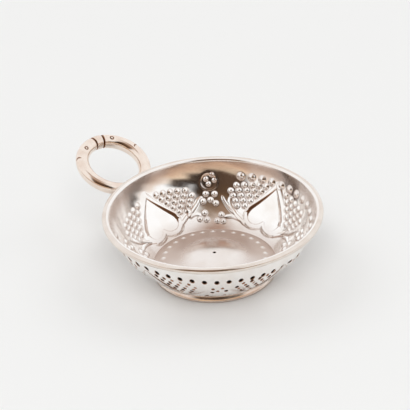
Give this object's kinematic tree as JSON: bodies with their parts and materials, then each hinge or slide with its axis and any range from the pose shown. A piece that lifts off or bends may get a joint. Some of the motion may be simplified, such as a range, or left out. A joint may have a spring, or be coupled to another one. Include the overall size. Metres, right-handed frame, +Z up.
{
  "type": "tastevin",
  "caption": "Shallow silver wine-taster's cup with a domed floor, repousse hearts and grape bunches, a low foot and a fixed finger ring of facing serpents.",
  "frame": {"origin": "on the cup's axis at the level of the table that the foot stands on", "axes": "+Z up along the cup's axis, -X out along the handle, so +X runs along the longest extent"},
  "size_m": [0.1037, 0.08, 0.033],
  "materials": {
    "silver_sheet": "polished old silver, tarnish left in the hollows",
    "silver_wire": "polished drawn silver wire",
    "cast_silver": "worn cast silver with a rosy tone"
  },
  "bodies": {
    "root": {"bowl": "silver_sheet", "rim_wire": "silver_wire", "foot_ring": "silver_wire", "left_serpent": "cast_silver", "right_serpent": "cast_silver", "collar": "cast_silver"}
  },
  "joints": []
}
